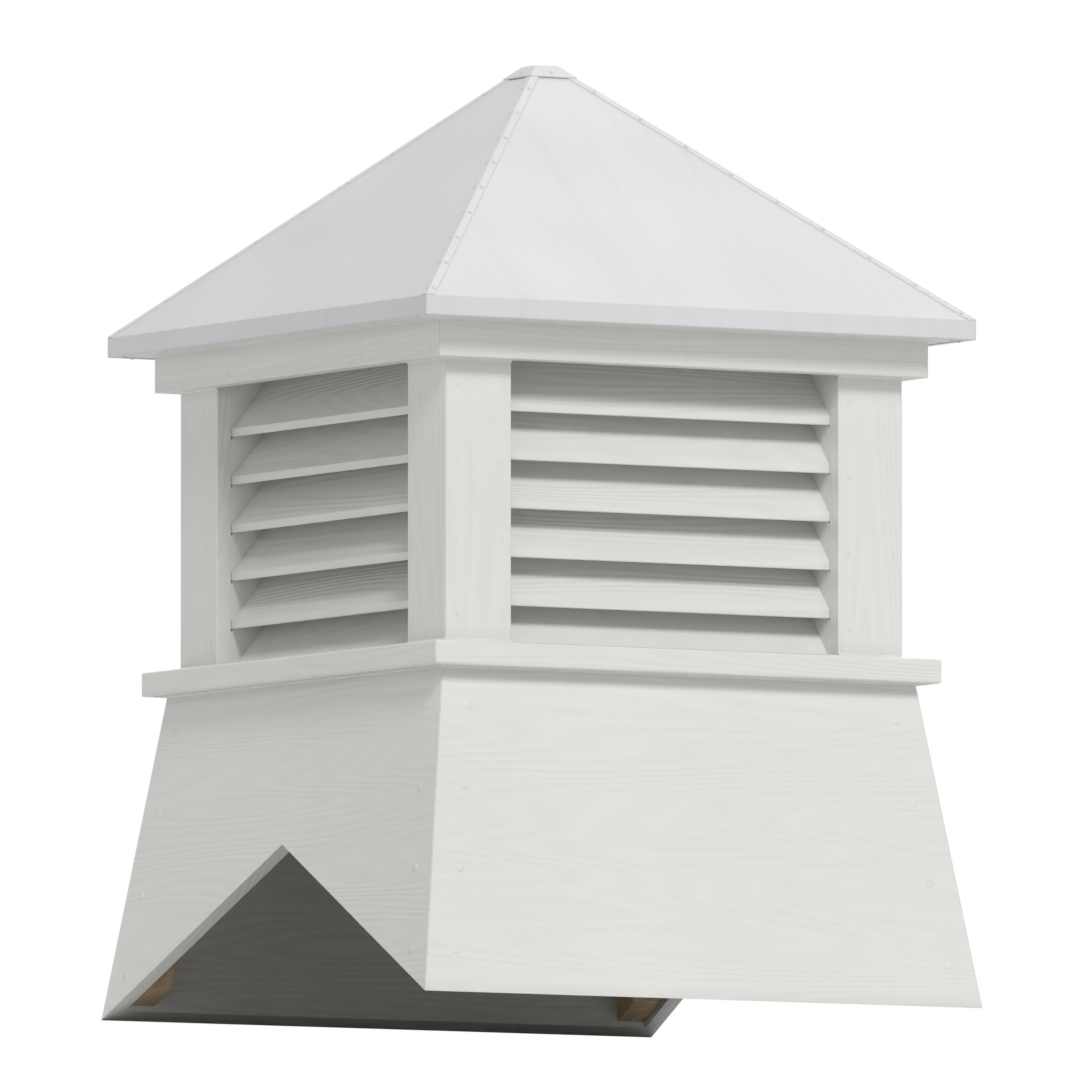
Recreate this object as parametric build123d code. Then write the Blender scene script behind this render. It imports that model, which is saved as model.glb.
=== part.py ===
from build123d import *

import os
from math import atan, cos, radians, sqrt, tan

# A louvred cupola, 30 inches square at its foot, that straddles the ridge of a pitched roof.
# X runs along that ridge, -Y is the front, Z is up. The origin is the centre of the
# square footprint, level with the two lowest edges of the flared base.

INCH = 25.4
CUPOLA_WIDTH = 30 * INCH
ARRIS = INCH / 16
NOSING = INCH / 8
CORNER_EASE = INCH / 32

# Flared base: four boards with mitred corners, cut underneath to the slopes of the roof
BASE_HEIGHT = 15.125 * INCH
BASE_SPREAD = 2.25 * INCH
BASE_BOARD = 0.75 * INCH
ROOF_RISE_PER_RUN = 6 / 12
CORNER_BLOCK = 1.5 * INCH
CORNER_BLOCK_LIFT = 0.25 * INCH

# Sill: a flat frame on top of the base, with a sloping wash and a drip groove. It reaches
# in as far as the backs of the stiles that stand on it.
SILL_OVERHANG = 0.875 * INCH
SILL_THICKNESS = 1.25 * INCH
WASH_DROP = 0.125 * INCH
DRIP_GROOVE = 0.125 * INCH
DRIP_GROOVE_INSET = 0.375 * INCH

# Louvred body: L-shaped corner posts, grooved stiles behind them, and sloping slats. The
# stiles are as deep as the corner allows, with the gap between those of two sides.
BODY_STEP = 0.4375 * INCH
POST_LEG = 3.5 * INCH
POST_BOARD = 0.75 * INCH
OPENING_HEIGHT = 13 * INCH
STILE_WIDTH = 0.625 * INCH
STILE_GAP = 0.0625 * INCH
GROOVE_DEPTH = 0.25 * INCH
SLAT_COUNT = 6
SLAT_BOARD = 0.3125 * INCH
SLAT_TILT = 50
SLAT_PITCH = 2.25 * INCH
LOWEST_SHOWN_EDGE = 1.625 * INCH
SLAT_SETBACK = INCH / 32
SLAT_PLAY = 0.2

# Frieze round the top of the posts
FRIEZE_HEIGHT = 1.75 * INCH
FRIEZE_BOARD = 0.875 * INCH

# Roof: eave frame, four deck boards, and sheet metal folded down over the eave
EAVE_OVERHANG = 2.5 * INCH
EAVE_BAND = 0.875 * INCH
EAVE_BOARD = 0.75 * INCH
EAVE_BOARD_WIDTH = 5 * INCH
ROOF_RISE = 12.75 * INCH
DECK_BOARD = 0.5 * INCH
SHEET = 1.0
SHEET_FOLD = 1.0
HEM_RETURN = 0.375 * INCH
PEAK_HOLE = 1.5 * INCH
HIP_STRIP_WIDTH = 0.625 * INCH
CAP_WIDTH = 2.5 * INCH
CAP_FLAT = 1.25 * INCH

# Widths that follow from the foot of the base, each a step in or out from the one before
BASE_TOP_WIDTH = CUPOLA_WIDTH - 2 * BASE_SPREAD
SILL_WIDTH = BASE_TOP_WIDTH + 2 * SILL_OVERHANG
BODY_WIDTH = BASE_TOP_WIDTH - 2 * BODY_STEP
FRIEZE_WIDTH = BODY_WIDTH + 2 * FRIEZE_BOARD
EAVE_WIDTH = BODY_WIDTH + 2 * EAVE_OVERHANG

# Levels, from the bottom up
SILL_TOP = BASE_HEIGHT + SILL_THICKNESS
OPENING_TOP = SILL_TOP + OPENING_HEIGHT
EAVE_BOTTOM = OPENING_TOP + FRIEZE_HEIGHT
EAVE_TOP = EAVE_BOTTOM + EAVE_BAND
PEAK = EAVE_TOP + ROOF_RISE
POST_HEIGHT = EAVE_BOTTOM - SILL_TOP

# Faces on the front side, as distances in Y
FOOT = -CUPOLA_WIDTH / 2
EAVE = -EAVE_WIDTH / 2
POST_FACE = -BODY_WIDTH / 2
POST_BACK = POST_FACE + POST_BOARD
POST_LEG_END = POST_FACE + POST_LEG
OPENING_HALF = -POST_LEG_END
STILE_BACK = -(OPENING_HALF + STILE_WIDTH + STILE_GAP)

# Longer than any piece, for runs and cutting tools that are trimmed afterwards
REACH = 2 * CUPOLA_WIDTH
TALL = 2 * PEAK

# How far each side or corner is turned about Z from the front or the front left
SIDES = {"front": 0, "right": 90, "back": 180, "left": 270}
CORNERS = {"front_left": 0, "front_right": 90, "back_right": 180, "back_left": 270}


def turned(shape, angle):
    return Rot(0, 0, angle) * shape


def save(shape, node):
    export_step(shape, f"parts/{node}.step")


def save_sides(front_shape, stem):
    for side, angle in SIDES.items():
        save(turned(front_shape, angle), f"{stem}_{side}")


def save_corners(front_left_shape, stem):
    for corner, angle in CORNERS.items():
        save(turned(front_left_shape, angle), f"{stem}_{corner}")


def outline(*points, eased=None):
    """A closed outline; eased maps some of its corners to the radius that rounds them off."""
    shape = Polygon(*points, align=None)
    for corner, radius in (eased or {}).items():
        shape = fillet(shape.vertices().sort_by_distance(corner)[0], radius)
    return shape


def along_x(profile, half_length=REACH):
    """A (y, z) profile carried along X, the same length each way."""
    return extrude(Plane.YZ * profile, amount=half_length, both=True)


def front_run(profile):
    """One side of a square frame: a profile run along the front and mitred at both ends."""
    quarter = extrude(outline((0, 0), (-REACH, -REACH), (REACH, -REACH)), amount=TALL)
    return along_x(profile) & quarter


def easing_block(foot_width, head_width, height):
    """A tapered block set on its diagonal, which planes the sharp corners off a square frame."""
    foot = foot_width / sqrt(2) - CORNER_EASE
    head = head_width / sqrt(2) - CORNER_EASE
    slab = along_x(outline((-foot, 0), (foot, 0), (head, height), (-head, height)))
    return turned(slab, 45) & turned(slab, 135)


# Flared base

BOARD_ON_THE_LEVEL = BASE_BOARD / cos(atan(BASE_SPREAD / BASE_HEIGHT))


def house_roof(lift=0.0):
    """Everything under the two slopes that the base straddles, raised by the lift."""
    ridge = -FOOT * ROOF_RISE_PER_RUN + lift
    far = ridge - REACH * ROOF_RISE_PER_RUN
    return along_x(outline((-REACH, far), (0, ridge), (REACH, far)))


def base_profile(outer, inner):
    """A leaning board, given as two level distances in from the outer face of the base."""
    head = FOOT + BASE_SPREAD
    return outline(
        (FOOT + outer, 0),
        (head + outer, BASE_HEIGHT),
        (head + inner, BASE_HEIGHT),
        (FOOT + inner, 0),
    )


def base_boards():
    board = front_run(base_profile(0, BOARD_ON_THE_LEVEL))
    board &= easing_block(CUPOLA_WIDTH, BASE_TOP_WIDTH, BASE_HEIGHT)
    for side, angle in SIDES.items():
        save(turned(board, angle) - house_roof(), f"base_{side}")


def base_blocks():
    """Square blocks inside the corners, leaning with them, that the boards are fixed to."""
    strip = along_x(base_profile(BOARD_ON_THE_LEVEL, BOARD_ON_THE_LEVEL + CORNER_BLOCK))
    block = strip & turned(strip, SIDES["left"])
    for corner, angle in CORNERS.items():
        save(turned(block, angle) - house_roof(CORNER_BLOCK_LIFT), f"base_block_{corner}")


# Sill

def sill():
    outer = -SILL_WIDTH / 2
    groove = outer + DRIP_GROOVE_INSET
    upper_edge = (outer, SILL_TOP - WASH_DROP)
    lower_edge = (outer, BASE_HEIGHT)
    profile = outline(
        lower_edge,
        upper_edge,
        (POST_FACE, SILL_TOP),
        (STILE_BACK, SILL_TOP),
        (STILE_BACK, BASE_HEIGHT),
        (groove + DRIP_GROOVE, BASE_HEIGHT),
        (groove + DRIP_GROOVE, BASE_HEIGHT + DRIP_GROOVE),
        (groove, BASE_HEIGHT + DRIP_GROOVE),
        (groove, BASE_HEIGHT),
        eased={upper_edge: NOSING, lower_edge: NOSING},
    )
    save_sides(front_run(profile) & easing_block(SILL_WIDTH, SILL_WIDTH, TALL), "sill")


# Louvred body

def corner_posts():
    outer_corner = (POST_FACE, POST_FACE)
    front_edge = (POST_LEG_END, POST_FACE)
    side_edge = (POST_FACE, POST_LEG_END)
    plan = outline(
        outer_corner,
        front_edge,
        (POST_LEG_END, POST_BACK),
        (POST_BACK, POST_BACK),
        (POST_BACK, POST_LEG_END),
        side_edge,
        eased={outer_corner: NOSING, front_edge: ARRIS, side_edge: ARRIS},
    )
    save_corners(Pos(0, 0, SILL_TOP) * extrude(plan, amount=POST_HEIGHT), "post")


SLAT_FRONT = POST_BACK + SLAT_SETBACK
SLAT_BACK = STILE_BACK - SLAT_SETBACK
SLAT_EDGE = SLAT_BOARD / cos(radians(SLAT_TILT))


def slat_underside(number, y):
    """Height of a slat's lower face at y; number 0 is the one that stands on the sill."""
    front_edge = SILL_TOP + LOWEST_SHOWN_EDGE + (number - 1) * SLAT_PITCH
    return front_edge + (y - SLAT_FRONT) * tan(radians(SLAT_TILT))


def louvre_slats():
    """Six slats, plumb at both edges and rounded at the nose, the lowest cut to the sill."""
    half_length = OPENING_HALF + GROOVE_DEPTH - SLAT_PLAY
    above_sill = Pos(0, 0, SILL_TOP) * Box(REACH, REACH, TALL, align=(Align.CENTER, Align.CENTER, Align.MIN))
    slats = []
    for number in range(SLAT_COUNT):
        nose = (SLAT_FRONT, slat_underside(number, SLAT_FRONT))
        brow = (SLAT_FRONT, nose[1] + SLAT_EDGE)
        heel = slat_underside(number, SLAT_BACK)
        profile = outline(
            nose, brow, (SLAT_BACK, heel + SLAT_EDGE), (SLAT_BACK, heel), eased={nose: ARRIS, brow: ARRIS}
        )
        slats.append(along_x(profile, half_length))
    slats[0] &= above_sill
    save_sides(Compound(children=slats), "louvre_slats")


def slat_grooves():
    """What the slats' ends take out of the stiles, right through from front to back."""
    front, back = POST_FACE, 0
    grooves = []
    for number in range(SLAT_COUNT):
        profile = outline(
            (front, slat_underside(number, front) - SLAT_PLAY),
            (front, slat_underside(number, front) + SLAT_EDGE + SLAT_PLAY),
            (back, slat_underside(number, back) + SLAT_EDGE + SLAT_PLAY),
            (back, slat_underside(number, back) - SLAT_PLAY),
        )
        grooves.append(along_x(profile, OPENING_HALF + GROOVE_DEPTH))
    return grooves


def louvre_stiles():
    """The two upright strips behind the posts that hold the slats by their ends."""
    strip = Box(STILE_WIDTH, STILE_BACK - POST_BACK, POST_HEIGHT, align=Align.MIN)
    stile = Pos(OPENING_HALF, POST_BACK, SILL_TOP) * strip - slat_grooves()
    save_sides(Compound(children=[stile, mirror(stile, Plane.YZ)]), "louvre_stiles")


# Frieze

def frieze():
    outer = -FRIEZE_WIDTH / 2
    lower_edge = (outer, OPENING_TOP)
    profile = outline(
        lower_edge,
        (outer, EAVE_BOTTOM),
        (POST_FACE, EAVE_BOTTOM),
        (POST_FACE, OPENING_TOP),
        eased={lower_edge: ARRIS},
    )
    save_sides(front_run(profile) & easing_block(FRIEZE_WIDTH, FRIEZE_WIDTH, TALL), "frieze")


# Roof

ROOF_SLOPE = ROOF_RISE / -EAVE
ROOF_ANGLE = atan(ROOF_SLOPE)
TIMBER_EDGE = EAVE + SHEET
DECK_SEAT = EAVE_BOTTOM + EAVE_BOARD


def roof_level(depth, y):
    """Height, at y on the front slope, of a layer that lies squarely under its face by depth."""
    return PEAK + y * ROOF_SLOPE - depth / cos(ROOF_ANGLE)


def eave_boards():
    inner = EAVE + EAVE_BOARD_WIDTH
    lower_edge = (TIMBER_EDGE, EAVE_BOTTOM)
    profile = outline(
        lower_edge,
        (TIMBER_EDGE, DECK_SEAT),
        (inner, DECK_SEAT),
        (inner, EAVE_BOTTOM),
        eased={lower_edge: SHEET_FOLD},
    )
    save_sides(front_run(profile), "eave_board")


def roof_decks():
    peak_edge = -PEAK_HOLE / 2
    underside = SHEET + DECK_BOARD
    foot = (DECK_SEAT - roof_level(underside, 0)) / ROOF_SLOPE
    upper_edge = (TIMBER_EDGE, roof_level(SHEET, TIMBER_EDGE))
    profile = outline(
        (TIMBER_EDGE, DECK_SEAT),
        upper_edge,
        (peak_edge, roof_level(SHEET, peak_edge)),
        (peak_edge, roof_level(underside, peak_edge)),
        (foot, DECK_SEAT),
        eased={upper_edge: SHEET_FOLD},
    )
    save_sides(front_run(profile), "roof_deck")


def roof_sheets():
    """Sheet metal on each slope, folded down over the eave and hemmed back under it."""
    peak_edge = -PEAK_HOLE / 2
    hem_end = EAVE + HEM_RETURN
    eave_fold = (EAVE, EAVE_TOP)
    inside_eave_fold = (TIMBER_EDGE, roof_level(SHEET, TIMBER_EDGE))
    hem_fold = (EAVE, EAVE_BOTTOM - SHEET)
    inside_hem_fold = (TIMBER_EDGE, EAVE_BOTTOM)
    profile = outline(
        (peak_edge, roof_level(0, peak_edge)),
        eave_fold,
        hem_fold,
        (hem_end, EAVE_BOTTOM - SHEET),
        (hem_end, EAVE_BOTTOM),
        inside_hem_fold,
        inside_eave_fold,
        (peak_edge, roof_level(SHEET, peak_edge)),
        eased={
            eave_fold: SHEET_FOLD + SHEET,
            hem_fold: SHEET_FOLD + SHEET,
            inside_eave_fold: SHEET_FOLD,
            inside_hem_fold: SHEET_FOLD,
        },
    )
    save_sides(front_run(profile) & easing_block(EAVE_WIDTH, EAVE_WIDTH, TALL), "roof_sheet")


def under_slopes(lift):
    """Everything under the four slopes of the roof, with each raised squarely by the lift."""
    far = roof_level(-lift, -REACH)
    tent = along_x(outline((-REACH, far), (0, roof_level(-lift, 0)), (REACH, far)))
    return tent & turned(tent, 90)


def square_column(width):
    return Box(width, width, 2 * TALL)


def hip_strips():
    """Strips bent over the four hips to close the joint there, from the eave to the cap."""
    skin = under_slopes(SHEET) - under_slopes(0)
    skin &= square_column(EAVE_WIDTH)
    skin &= easing_block(EAVE_WIDTH, EAVE_WIDTH, TALL)
    diagonal = turned(Box(REACH, HIP_STRIP_WIDTH, 2 * TALL), 45)
    start = -(PEAK_HOLE + REACH) / 2
    quarter = Pos(start, start, 0) * square_column(REACH)
    save_corners(skin & diagonal & quarter, "hip_strip")


CAP_TOP = roof_level(-2 * SHEET, -CAP_FLAT / 2)


def apex_cap():
    """A small square cap, flat on top, folded down over the upper ends of the hip strips."""
    def above(level):
        return Pos(0, 0, level + REACH / 2) * Box(REACH, REACH, REACH)

    outside = (under_slopes(2 * SHEET) - above(CAP_TOP)) & square_column(CAP_WIDTH)
    inside = under_slopes(SHEET) - above(CAP_TOP - SHEET)
    save(outside - inside, "apex_cap")


os.makedirs("parts", exist_ok=True)
base_boards()
base_blocks()
sill()
corner_posts()
louvre_slats()
louvre_stiles()
frieze()
eave_boards()
roof_decks()
roof_sheets()
hip_strips()
apex_cap()
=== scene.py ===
from math import cos, pi, radians, sin

import bmesh
import bpy
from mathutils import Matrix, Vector


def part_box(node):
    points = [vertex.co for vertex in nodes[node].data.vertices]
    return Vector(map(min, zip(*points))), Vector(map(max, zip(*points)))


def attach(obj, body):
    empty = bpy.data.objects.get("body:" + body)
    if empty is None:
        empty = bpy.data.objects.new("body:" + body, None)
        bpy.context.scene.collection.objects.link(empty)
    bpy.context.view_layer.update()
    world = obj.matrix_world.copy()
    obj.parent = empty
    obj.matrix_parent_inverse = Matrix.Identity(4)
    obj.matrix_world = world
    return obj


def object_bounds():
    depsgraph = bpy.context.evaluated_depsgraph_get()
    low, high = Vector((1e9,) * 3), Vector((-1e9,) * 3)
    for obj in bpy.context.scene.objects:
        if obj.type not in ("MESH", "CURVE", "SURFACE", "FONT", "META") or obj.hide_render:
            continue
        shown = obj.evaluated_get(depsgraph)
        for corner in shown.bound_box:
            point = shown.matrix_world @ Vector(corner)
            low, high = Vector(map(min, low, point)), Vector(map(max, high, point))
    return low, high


# Looks for a louvred cupola. Metres, X along the ridge, -Y the front, Z up.

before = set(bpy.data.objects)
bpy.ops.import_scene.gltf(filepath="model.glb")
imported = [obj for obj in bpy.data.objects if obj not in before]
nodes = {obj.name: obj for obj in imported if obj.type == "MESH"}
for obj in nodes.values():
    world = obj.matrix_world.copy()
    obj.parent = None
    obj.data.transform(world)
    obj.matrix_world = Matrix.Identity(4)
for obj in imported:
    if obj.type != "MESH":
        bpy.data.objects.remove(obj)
cad_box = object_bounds()

PAINT = (0.81, 0.81, 0.79)
PAINT_AGED = (0.72, 0.715, 0.685)
PRIMER = (0.66, 0.66, 0.64)
ROOF = (0.74, 0.752, 0.762)
ROOF_AGED = (0.68, 0.692, 0.70)
ROOF_STREAK = (0.60, 0.605, 0.60)
PINE_LIGHT = (0.70, 0.55, 0.37)
PINE_DARK = (0.52, 0.36, 0.20)
# Near-black pine for shade painted into the corners of the bare wood
PINE_PAINTED_SHADE = (0.12, 0.08, 0.05)
# Dark grey for grime, worn chips and mitre joints, and for shade painted into corners
GRIME_AND_PAINTED_SHADE = (0.30, 0.29, 0.27)
FLOOR = (0.88, 0.88, 0.88)
WHITE = (1.0, 1.0, 1.0)

# Specular levels
PAINT_GLOSS = 0.45
PINE_GLOSS = 0.3
ROOF_GLOSS = 0.5
BEAD_GLOSS = 0.4

UP, DOWN = Vector((0, 0, 1)), Vector((0, 0, -1))
ALONG = {"front": "x", "back": "x", "left": "y", "right": "y"}
OUTWARD = {
    "front": Vector((0, -1, 0)),
    "back": Vector((0, 1, 0)),
    "left": Vector((-1, 0, 0)),
    "right": Vector((1, 0, 0)),
}
CORNERS = {
    "front_left": ("front", "left"),
    "front_right": ("front", "right"),
    "back_left": ("back", "left"),
    "back_right": ("back", "right"),
}


# Shader nodes

class Tree:
    """A short way to add and join the nodes of a material or of the world."""

    def __init__(self, owner, output="ShaderNodeOutputMaterial"):
        owner.use_nodes = True
        self.nodes = owner.node_tree.nodes
        self.links = owner.node_tree.links
        self.nodes.clear()
        self.output = self.add(output)

    def add(self, kind, **settings):
        node = self.nodes.new(kind)
        for key, value in settings.items():
            setattr(node, key, value)
        return node

    def join(self, source, target):
        self.links.new(source, target)

    def scaled(self, scale):
        """Object coordinates, in metres, stretched by a scale for each axis."""
        place = self.add("ShaderNodeTexCoord")
        mapping = self.add("ShaderNodeMapping")
        mapping.inputs["Scale"].default_value = scale
        self.join(place.outputs["Object"], mapping.inputs["Vector"])
        return mapping.outputs["Vector"]

    def noise(self, scale, detail, roughness=0.5):
        node = self.add("ShaderNodeTexNoise")
        node.inputs["Scale"].default_value = 1.0
        node.inputs["Detail"].default_value = detail
        node.inputs["Roughness"].default_value = roughness
        self.join(self.scaled(scale), node.inputs["Vector"])
        return node.outputs["Fac"]

    def ramp(self, source, low, high, start=0.0, end=1.0):
        """The source's stretch from low to high turned into start to end."""
        node = self.add("ShaderNodeMapRange")
        for socket, value in zip(("From Min", "From Max", "To Min", "To Max"), (low, high, start, end)):
            node.inputs[socket].default_value = value
        self.join(source, node.inputs["Value"])
        return node.outputs["Result"]

    def mix(self, factor, first, second):
        """A colour mix; first and second are colours or sockets."""
        node = self.add("ShaderNodeMix", data_type="RGBA")
        self.join(factor, node.inputs["Factor"])
        for name, value in (("A", first), ("B", second)):
            socket = [s for s in node.inputs if s.name == name and s.type == "RGBA"][0]
            if isinstance(value, tuple):
                socket.default_value = (*value, 1.0)
            else:
                self.join(value, socket)
        return [s for s in node.outputs if s.type == "RGBA"][0]

    def tint(self, colour, towards, mask, share):
        """The colour taken part of the way towards another: by the share where the mask is 1."""
        return self.mix(self.maths("MULTIPLY", mask, share), colour, towards)

    def maths(self, operation, *values):
        node = self.add("ShaderNodeMath", operation=operation)
        for index, value in enumerate(values):
            if isinstance(value, float):
                node.inputs[index].default_value = value
            else:
                self.join(value, node.inputs[index])
        return node.outputs["Value"]

    def bump(self, height, distance, strength=1.0, under=None):
        node = self.add("ShaderNodeBump")
        node.inputs["Distance"].default_value = distance
        node.inputs["Strength"].default_value = strength
        self.join(height, node.inputs["Height"])
        if under is not None:
            self.join(under, node.inputs["Normal"])
        return node.outputs["Normal"]

    def crevices(self, distance):
        """1 in the open and 0 deep in a corner; the materials paint shade into their colour from it."""
        node = self.add("ShaderNodeAmbientOcclusion", samples=2)
        node.inputs["Distance"].default_value = distance
        return node.outputs["AO"]

    def facing(self, direction):
        """How far the true face looks in a direction, from -1 to 1."""
        turn = self.add("ShaderNodeVectorMath", operation="DOT_PRODUCT")
        turn.inputs[1].default_value = direction
        self.join(self.add("ShaderNodeNewGeometry").outputs["True Normal"], turn.inputs[0])
        return turn.outputs["Value"]

    def edges(self, reach):
        """0 on a flat face and up to 1 along its edges, within the reach."""
        flat, turned = 0.99, 0.80
        rounded = self.add("ShaderNodeBevel", samples=2)
        rounded.inputs["Radius"].default_value = reach
        turn = self.add("ShaderNodeVectorMath", operation="DOT_PRODUCT")
        self.join(rounded.outputs["Normal"], turn.inputs[0])
        self.join(self.add("ShaderNodeNewGeometry").outputs["True Normal"], turn.inputs[1])
        return self.ramp(turn.outputs["Value"], flat, turned)

    def mitres(self, width):
        """1 on the upright planes where the sides of a square frame meet, 0 off them."""
        place = self.add("ShaderNodeSeparateXYZ")
        self.join(self.add("ShaderNodeTexCoord").outputs["Object"], place.inputs["Vector"])
        x, y = (self.maths("ABSOLUTE", place.outputs[name]) for name in "XY")
        apart = self.maths("ABSOLUTE", self.maths("SUBTRACT", x, y))
        return self.ramp(apart, 0.3 * width, width, 1.0, 0.0)

    def growth_rings(self, axis):
        """Flat-sawn grain: the contour lines of a slow noise drawn out along the board."""
        along, across, turns = 0.63, 7.0, 230.0
        field = self.noise(stretched(axis, along, across), 2.0, 0.45)
        wave = self.maths("SINE", self.maths("MULTIPLY", field, turns))
        return self.ramp(wave, -1.0, 1.0)

    def either(self, factor, first, second):
        """The tree's surface is the first shader where the factor is 0 and the second where it is 1."""
        node = self.add("ShaderNodeMixShader")
        for socket, source in zip(node.inputs, (factor, first, second)):
            self.join(source, socket)
        self.join(node.outputs["Shader"], self.output.inputs["Surface"])


def stretched(axis, along, across):
    """A scale for each of x, y and z: one along the named axis and another across it."""
    return tuple(along if name == axis else across for name in "xyz")


def even(scale):
    return (scale, scale, scale)


# Materials. Scales are in waves a metre, reaches and bump heights in metres.

def surfaced(name, make, *details):
    """A material with the colour, roughness, bump and gloss that make(tree, *details) gives."""
    material = bpy.data.materials.new(name)
    tree = Tree(material)
    colour, roughness, normal, gloss = make(tree, *details)
    shader = tree.add("ShaderNodeBsdfPrincipled")
    shader.inputs["Specular IOR Level"].default_value = gloss
    tree.join(colour, shader.inputs["Base Color"])
    tree.join(roughness, shader.inputs["Roughness"])
    tree.join(normal, shader.inputs["Normal"])
    tree.join(shader.outputs["BSDF"], tree.output.inputs["Surface"])
    return material


def paint_on_wood(tree, axis):
    """White paint through which the grain and the brush strokes show faintly, with shade painted into
    its corners.
    """
    patches = tree.ramp(tree.noise(even(3.1), 3.0), 0.35, 0.7)
    brush = tree.ramp(tree.noise(stretched(axis, 6.0, 420.0), 3.0, 0.6), 0.3, 0.7)
    rings = tree.growth_rings(axis)
    colour = tree.tint(PAINT, PAINT_AGED, patches, 0.35)
    colour = tree.tint(colour, PAINT_AGED, rings, 0.26)
    colour = tree.tint(colour, PAINT_AGED, brush, 0.12)
    chips = tree.ramp(tree.noise(even(140.0), 4.0, 0.6), 0.46, 0.60)
    worn = tree.maths("MULTIPLY", tree.edges(0.0025), chips)
    colour = tree.tint(colour, GRIME_AND_PAINTED_SHADE, worn, 0.25)
    colour = tree.tint(colour, GRIME_AND_PAINTED_SHADE, tree.mitres(0.0006), 0.5)
    # Painted shade: dark grey mixed in where ambient occlusion finds a corner or recess
    painted_shade = tree.ramp(tree.crevices(0.02), 0.25, 0.8, 0.30, 0.0)
    colour = tree.mix(painted_shade, colour, GRIME_AND_PAINTED_SHADE)
    roughness = tree.ramp(brush, 0.0, 1.0, 0.36, 0.50)
    normal = tree.bump(rings, 0.00023)
    normal = tree.bump(brush, 0.00010, 0.8, normal)
    return colour, roughness, normal, rings


def painted_wood(tree, axis):
    colour, roughness, normal, _ = paint_on_wood(tree, axis)
    return colour, roughness, normal, PAINT_GLOSS


def half_painted_wood(tree, axis, inward):
    """Painted wood that is only primed, and duller, on the faces that look inward."""
    colour, roughness, normal, rings = paint_on_wood(tree, axis)
    primed = tree.ramp(tree.facing(inward), 0.55, 0.6)
    colour = tree.mix(primed, colour, tree.mix(rings, PRIMER, PAINT_AGED))
    roughness = tree.maths("ADD", roughness, tree.maths("MULTIPLY", primed, 0.25))
    return colour, roughness, normal, PAINT_GLOSS


def bare_wood(tree, axis):
    """Unpainted pine with its rings, its fibres and darker stretches of heartwood, and shade painted
    into its corners.
    """
    rings = tree.growth_rings(axis)
    fibres = tree.ramp(tree.noise(stretched(axis, 14.0, 900.0), 3.0, 0.6), 0.3, 0.7)
    heartwood = tree.ramp(tree.noise(stretched(axis, 1.2, 9.0), 2.0), 0.35, 0.65)
    colour = tree.tint(PINE_LIGHT, PINE_DARK, rings, 0.7)
    colour = tree.tint(colour, PINE_DARK, heartwood, 0.4)
    colour = tree.tint(colour, PINE_LIGHT, fibres, 0.35)
    # Painted shade: near-black mixed into the pine where ambient occlusion finds a corner or recess
    painted_shade = tree.ramp(tree.crevices(0.04), 0.2, 0.9, 0.25, 0.0)
    colour = tree.mix(painted_shade, colour, PINE_PAINTED_SHADE)
    roughness = tree.ramp(fibres, 0.0, 1.0, 0.62, 0.80)
    normal = tree.bump(rings, 0.0003)
    normal = tree.bump(fibres, 0.0002, 0.7, normal)
    return colour, roughness, normal, PINE_GLOSS


def coated_sheet(tree, level):
    """Factory-painted sheet: faint rain streaks down the slope, orange peel, a slow waviness, darker
    edges and shade painted into its corners.
    """
    patches = tree.ramp(tree.noise(even(2.3), 2.0), 0.1, 0.9)
    colour = tree.tint(ROOF, ROOF_AGED, patches, 0.5)
    streaks = tree.ramp(tree.noise(stretched(level, 70.0, 1.6), 3.0, 0.6), 0.45, 0.75)
    colour = tree.tint(colour, ROOF_STREAK, streaks, 0.18)
    # Darker along the sheet's edges and folds
    colour = tree.tint(colour, GRIME_AND_PAINTED_SHADE, tree.edges(0.002), 0.25)
    # Painted shade: dark grey mixed in where ambient occlusion finds a corner or recess
    painted_shade = tree.ramp(tree.crevices(0.012), 0.3, 0.85, 0.25, 0.0)
    colour = tree.mix(painted_shade, colour, GRIME_AND_PAINTED_SHADE)
    peel = tree.noise(even(260.0), 1.0)
    roughness = tree.ramp(peel, 0.2, 0.8, 0.40, 0.50)
    wave = tree.noise(even(6.0), 0.0)
    normal = tree.bump(wave, 0.008)
    normal = tree.bump(peel, 0.00006, 0.6, normal)
    return colour, roughness, normal, ROOF_GLOSS


def sealant(tree):
    """A flexible bead, wiped smooth and painted over."""
    lumps = tree.noise(even(60.0), 3.0)
    colour = tree.mix(tree.ramp(lumps, 0.3, 0.7), PAINT, PAINT_AGED)
    roughness = tree.ramp(lumps, 0.3, 0.7, 0.40, 0.55)
    normal = tree.bump(lumps, 0.0008)
    return colour, roughness, normal, BEAD_GLOSS


run_paint = {axis: surfaced(f"paint_along_{axis}", painted_wood, axis) for axis in "xyz"}
base_paint = {
    side: surfaced(f"base_paint_{side}", half_painted_wood, axis, -OUTWARD[side])
    for side, axis in ALONG.items()
}
raw_pine = {axis: surfaced(f"raw_pine_{axis}", bare_wood, axis) for axis in "xyz"}
roof_coat = {axis: surfaced(f"roof_coat_{axis}", coated_sheet, axis) for axis in "xy"}
bead_paint = surfaced("bead_paint", sealant)


def material_for(node):
    side = node.rsplit("_", 1)[-1]
    if node.startswith(("roof_sheet", "hip_strip", "apex_cap")):
        return roof_coat[ALONG.get(side, "x")]
    if node.startswith("base_block"):
        return raw_pine["z"]
    if node.startswith("base_"):
        return base_paint[side]
    if node.startswith("roof_deck"):
        return raw_pine[ALONG[side]]
    if node.startswith(("post", "louvre_stiles")):
        return run_paint["z"]
    return run_paint[ALONG[side]]


def dress_nodes():
    for name, piece in nodes.items():
        piece.data.materials.clear()
        piece.data.materials.append(material_for(name))


# Fasteners, all seated on the faces of the pieces that they hold

MILLIMETRE = 0.001
CLEAR_OF_ALL = 2.0
HEAD_SIDES = 16

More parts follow.
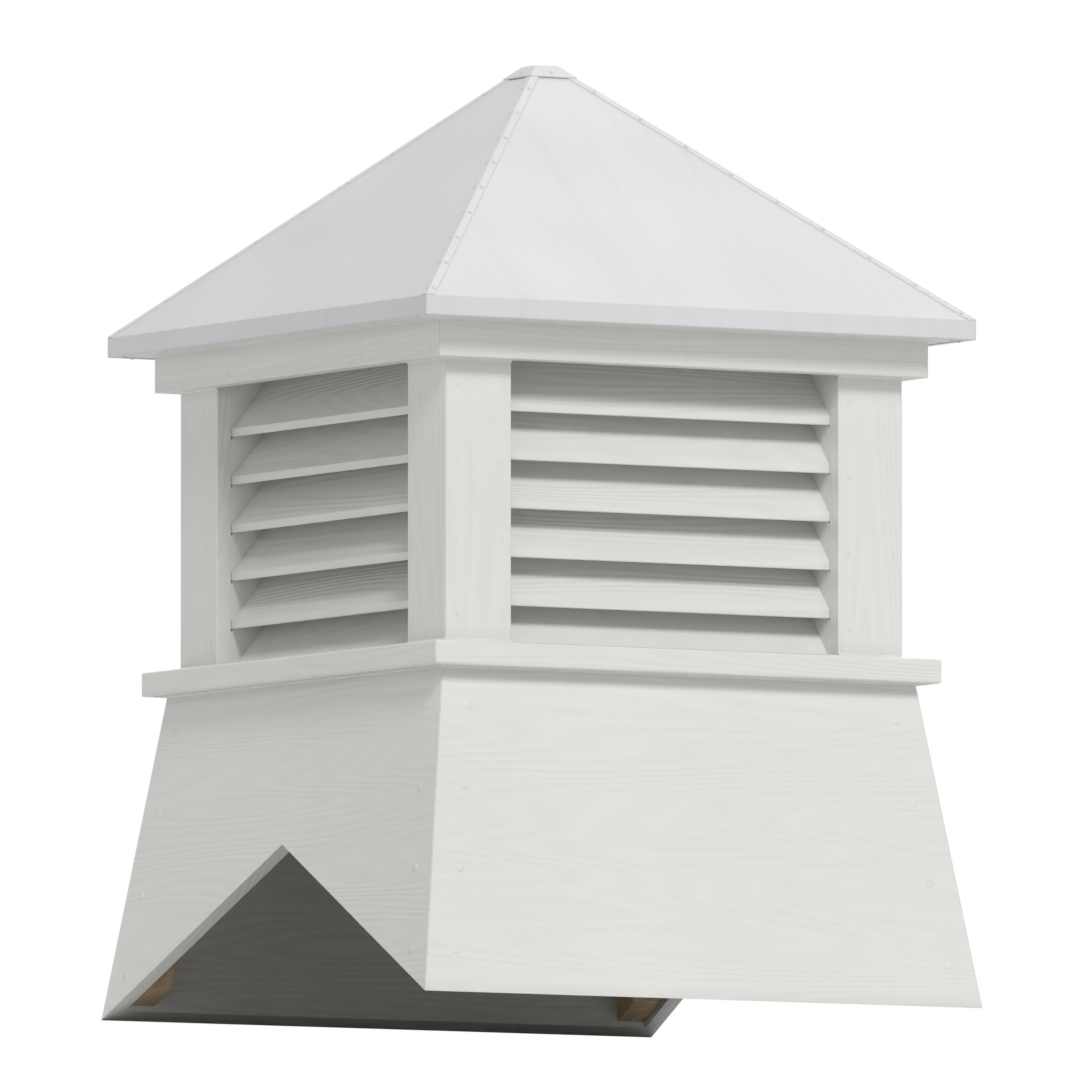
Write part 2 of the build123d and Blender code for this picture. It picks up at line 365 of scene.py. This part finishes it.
# (radius, height) in mm from the rim, which lies a little under the face, to the crown
PLUG = [(5.2, -0.2), (5.0, 0.3), (4.4, 0.42), (2.0, 0.45)]
FILLED_NAIL = [(2.9, -0.2), (2.7, 0.2), (2.2, 0.3), (0.9, 0.3)]
RIVET = [(2.6, -0.1), (2.5, 0.3), (2.0, 0.8), (1.2, 1.05), (0.9, 0.85)]


def seat(node, start, direction):
    """Where a line from far outside first meets a piece, and which way that face looks."""
    met, place, normal, _ = nodes[node].ray_cast(start - direction * CLEAR_OF_ALL, direction)
    if not met:
        raise ValueError(f"nothing of {node} lies that way")
    return place, normal


def finished(name, mesh, material):
    """Makes the mesh a piece of the scene, on the cupola's one body."""
    bmesh.ops.recalc_face_normals(mesh, faces=mesh.faces)
    data = bpy.data.meshes.new(name)
    mesh.to_mesh(data)
    mesh.free()
    data.materials.append(material)
    piece = bpy.data.objects.new(name, data)
    bpy.context.collection.objects.link(piece)
    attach(piece, "root")


def circle(mesh, centre, normal, radius):
    level = normal.orthogonal().normalized()
    across = normal.cross(level)
    ring = []
    for step in range(HEAD_SIDES):
        angle = 2 * pi * step / HEAD_SIDES
        spoke = level * cos(angle) + across * sin(angle)
        ring.append(mesh.verts.new(centre + spoke * radius))
    return ring


def heads(name, seats, profile, material):
    """Round heads with this profile, one on each seat."""
    mesh = bmesh.new()
    for place, normal in seats:
        rings = [
            circle(mesh, place + normal * height * MILLIMETRE, normal, radius * MILLIMETRE)
            for radius, height in profile
        ]
        for outer, inner in zip(rings, rings[1:]):
            for step in range(HEAD_SIDES):
                after = (step + 1) % HEAD_SIDES
                face = mesh.faces.new((outer[step], outer[after], inner[after], inner[step]))
                face.smooth = True
        mesh.faces.new(rings[-1])
        mesh.faces.new(rings[0])
    finished(name, mesh, material)


def painted_heads(name, seats, profile):
    heads(name, seats, profile, bead_paint)


def rivets(name, seats):
    heads(name, seats, RIVET, roof_coat["x"])


def spaced(low, high, count):
    return [low + (high - low) * step / (count - 1) for step in range(count)]


def base_half_width(height):
    """Half the width of the leaning base at a height, measured on its front board."""
    place, _ = seat("base_front", UP * height, -OUTWARD["front"])
    return -place.y


def base_plugs():
    """Plugged screws through the base boards into the corner blocks."""
    from_corner, from_foot, from_head, count = 0.038, 0.050, 0.045, 4
    low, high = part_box("base_front")
    seats = []
    for side, outward in OUTWARD.items():
        sideways = outward.cross(UP)
        for height in spaced(low.z + from_foot, high.z - from_head, count):
            offset = base_half_width(height) - from_corner
            for way in (-1, 1):
                seats.append(seat(f"base_{side}", UP * height + sideways * way * offset, -outward))
    painted_heads("base_screw_plugs", seats, PLUG)


def post_nails():
    """Filled nails near both edges of each leg of the corner posts."""
    from_edge, from_end, count = 0.014, 0.030, 4
    sill_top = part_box("post_front_left")[0].z
    opening_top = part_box("frieze_front")[0].z
    seats = []
    for corner, sides in CORNERS.items():
        low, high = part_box(f"post_{corner}")
        leg = high.x - low.x
        for side in sides:
            for height in spaced(sill_top + from_end, opening_top - from_end, count):
                for share in (from_edge, leg - from_edge):
                    along_x = Vector((low.x + share, 0, height))
                    along_y = Vector((0, low.y + share, height))
                    place = along_x if ALONG[side] == "x" else along_y
                    seats.append(seat(f"post_{corner}", place, -OUTWARD[side]))
    painted_heads("post_nail_fillings", seats, FILLED_NAIL)


def frieze_nails():
    """Filled nails in pairs along the frieze."""
    from_end, from_bottom, from_top, count = 0.022, 0.010, 0.012, 5
    seats = []
    for side, outward in OUTWARD.items():
        low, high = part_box(f"frieze_{side}")
        sideways = outward.cross(UP)
        reach = max(high.x, high.y) - from_end
        for offset in spaced(-reach, reach, count):
            for height in (low.z + from_bottom, high.z - from_top):
                seats.append(seat(f"frieze_{side}", sideways * offset + UP * height, -outward))
    painted_heads("frieze_nail_fillings", seats, FILLED_NAIL)


def hip_rivets():
    """Rivets down both flanks of each hip strip."""
    from_ridge, from_cap, from_eave, count = 0.0042, 0.016, 0.012, 9
    eave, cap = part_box("roof_sheet_front")[1].x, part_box("apex_cap")[1].x
    seats = []
    for corner, (across_y, across_x) in CORNERS.items():
        way = OUTWARD[across_x] + OUTWARD[across_y]
        flank = way.cross(UP).normalized() * from_ridge
        for reach in spaced(cap + from_cap, eave - from_eave, count):
            for place in (way * reach + flank, way * reach - flank):
                seats.append(seat(f"hip_strip_{corner}", place, DOWN))
    rivets("hip_strip_rivets", seats)


def cap_rivets():
    """One rivet in the middle of each flap of the cap."""
    from_edge = 0.006
    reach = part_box("apex_cap")[1].x - from_edge
    rivets("cap_rivets", [seat("apex_cap", outward * reach, DOWN) for outward in OUTWARD.values()])


def hem_nails():
    """Nails up through the hem of the roof sheets into the eave boards."""
    from_edge, from_end, count = 0.0055, 0.03, 8
    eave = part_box("roof_sheet_front")[1].x
    seats = []
    for side, outward in OUTWARD.items():
        sideways = outward.cross(UP)
        for offset in spaced(-(eave - from_end), eave - from_end, count):
            place = outward * (eave - from_edge) + sideways * offset
            seats.append(seat(f"roof_sheet_{side}", place, UP))
    rivets("hem_nails", seats)


# Beads of sealant in the inner corners between pieces

BEAD = 0.0026
BEAD_BITE = 0.0004
BEAD_WAIST = BEAD * 0.34
BEAD_PROFILE = [
    (-BEAD_BITE, -BEAD_BITE),
    (BEAD, -BEAD_BITE),
    (BEAD_WAIST, BEAD_WAIST),
    (-BEAD_BITE, BEAD),
]
POST_ROUNDING = 0.0032
ROUNDING_STEPS = 4


def beads(name, routes, height, way, closed):
    """A bead along each route, up or down from its height; a route is a list of (place, outward)."""
    mesh = bmesh.new()
    for stations in routes:
        sections = []
        for place, outward in stations:
            foot = place + UP * height
            points = [foot + outward * out + way * rise for out, rise in BEAD_PROFILE]
            sections.append([mesh.verts.new(point) for point in points])
        following = sections[1:] + sections[:1] if closed else sections[1:]
        for here, there in zip(sections, following):
            for corner in range(len(BEAD_PROFILE)):
                after = (corner + 1) % len(BEAD_PROFILE)
                mesh.faces.new((here[corner], here[after], there[after], there[corner]))
        if not closed:
            mesh.faces.new(sections[0])
            mesh.faces.new(sections[-1])
    finished(name, mesh, bead_paint)


def square_route(half_width):
    in_turn = ("front_left", "front_right", "back_right", "back_left")
    corners = [OUTWARD[a] + OUTWARD[b] for a, b in (CORNERS[name] for name in in_turn)]
    return [(corner * half_width, corner) for corner in corners]


def post_route(corner):
    """Round the outside of a post, from the end of one leg to the end of the other."""
    front, side = (OUTWARD[name] for name in CORNERS[corner])
    low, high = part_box(f"post_{corner}")
    face = max(abs(low.x), abs(high.x))
    leg_end = min(abs(low.x), abs(high.x))
    stations = [(side * leg_end + front * face, front)]
    for step in range(ROUNDING_STEPS + 1):
        angle = pi / 2 * step / ROUNDING_STEPS
        outward = front * cos(angle) + side * sin(angle)
        stations.append(((front + side) * (face - POST_ROUNDING) + outward * POST_ROUNDING, outward))
    stations.append((side * face + front * leg_end, side))
    return stations


def sealant_beads():
    just_under = 0.0005
    sill_low, sill_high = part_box("sill_front")
    frieze_low, frieze_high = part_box("frieze_front")
    round_base = square_route(base_half_width(sill_low.z - just_under))
    round_frieze = square_route(frieze_high.x)
    round_posts = [post_route(corner) for corner in CORNERS]
    beads("sealant_under_sill", [round_base], sill_low.z, DOWN, True)
    beads("sealant_under_eave", [round_frieze], frieze_high.z, DOWN, True)
    beads("sealant_under_frieze", round_posts, frieze_low.z, DOWN, False)
    beads("sealant_on_sill", round_posts, sill_high.z, UP, False)


# Floor, background and light

FLOOR_SIZE = 160.0
SOFT_LIGHT = 0.29
BACKGROUND_LIGHT = 1.0


def floor_material():
    """A pale floor that shows from above only, because the drawing looks up from below it."""
    material = bpy.data.materials.new("floor_plain")
    tree = Tree(material)
    pale = tree.add("ShaderNodeBsdfDiffuse")
    pale.inputs["Color"].default_value = (*FLOOR, 1.0)
    clear = tree.add("ShaderNodeBsdfTransparent")
    from_below = tree.add("ShaderNodeNewGeometry").outputs["Backfacing"]
    tree.either(from_below, pale.outputs["BSDF"], clear.outputs["BSDF"])
    return material


def lay_floor():
    bpy.ops.mesh.primitive_plane_add(size=FLOOR_SIZE)
    floor = bpy.context.object
    floor.name = "floor"
    floor.data.materials.append(floor_material())


def white_light(tree, strength):
    background = tree.add("ShaderNodeBackground")
    background.inputs["Color"].default_value = (*WHITE, 1.0)
    background.inputs["Strength"].default_value = strength
    return background.outputs["Background"]


def light_world():
    """Plain white behind the cupola and in its reflections, and a softer light from all round."""
    world = bpy.data.worlds.new("studio")
    bpy.context.scene.world = world
    tree = Tree(world, "ShaderNodeOutputWorld")
    path = tree.add("ShaderNodeLightPath")
    shows = path.outputs["Is Camera Ray"]
    for ray in ("Is Glossy Ray", "Is Transmission Ray"):
        shows = tree.maths("MAXIMUM", shows, path.outputs[ray])
    tree.either(shows, white_light(tree, SOFT_LIGHT), white_light(tree, BACKGROUND_LIGHT))


def sun(name, from_where, strength, angle):
    """A lamp far off in a direction; the angle, in degrees, is how large it looks."""
    lamp = bpy.data.lights.new(name, "SUN")
    lamp.energy = strength
    lamp.angle = radians(angle)
    lamp_object = bpy.data.objects.new(name, lamp)
    lamp_object.rotation_mode = "QUATERNION"
    lamp_object.rotation_quaternion = Vector(from_where).to_track_quat("Z", "Y")
    bpy.context.collection.objects.link(lamp_object)


# Camera: where the drawing is seen from, about 31 m away and a little below the base.
# The turn is in degrees to the left of the front, and the lens in millimetres.

VIEW_TURN = -30.6
VIEW_DISTANCE = 30.85
VIEW_HEIGHT = -1.649
VIEW_LENS = 870.0
VIEW_NEAR, VIEW_FAR = 1.0, 200.0


def aim_camera():
    centre = Vector((0.0, 0.0, (cad_box[0].z + cad_box[1].z) / 2))
    turn = radians(VIEW_TURN)
    camera = bpy.data.objects.new("camera", bpy.data.cameras.new("camera"))
    camera.location = (VIEW_DISTANCE * sin(turn), -VIEW_DISTANCE * cos(turn), VIEW_HEIGHT)
    camera.rotation_mode = "QUATERNION"
    camera.rotation_quaternion = (camera.location - centre).to_track_quat("Z", "Y")
    camera.data.lens = VIEW_LENS
    camera.data.clip_start, camera.data.clip_end = VIEW_NEAR, VIEW_FAR
    bpy.context.collection.objects.link(camera)
    bpy.context.scene.camera = camera


dress_nodes()
base_plugs()
post_nails()
frieze_nails()
hip_rivets()
cap_rivets()
hem_nails()
sealant_beads()

lay_floor()
light_world()
sun("key", (-0.18, -0.73, 0.66), 1.65, 18)
sun("camera_fill", (-0.80, -0.58, 0.16), 0.25, 30)
sun("rear", (0.50, 0.60, 0.62), 0.60, 45)
sun("sheen", (0.55, 0.34, 0.76), 0.16, 14)
aim_camera()
bpy.context.scene.view_settings.view_transform = "Standard"
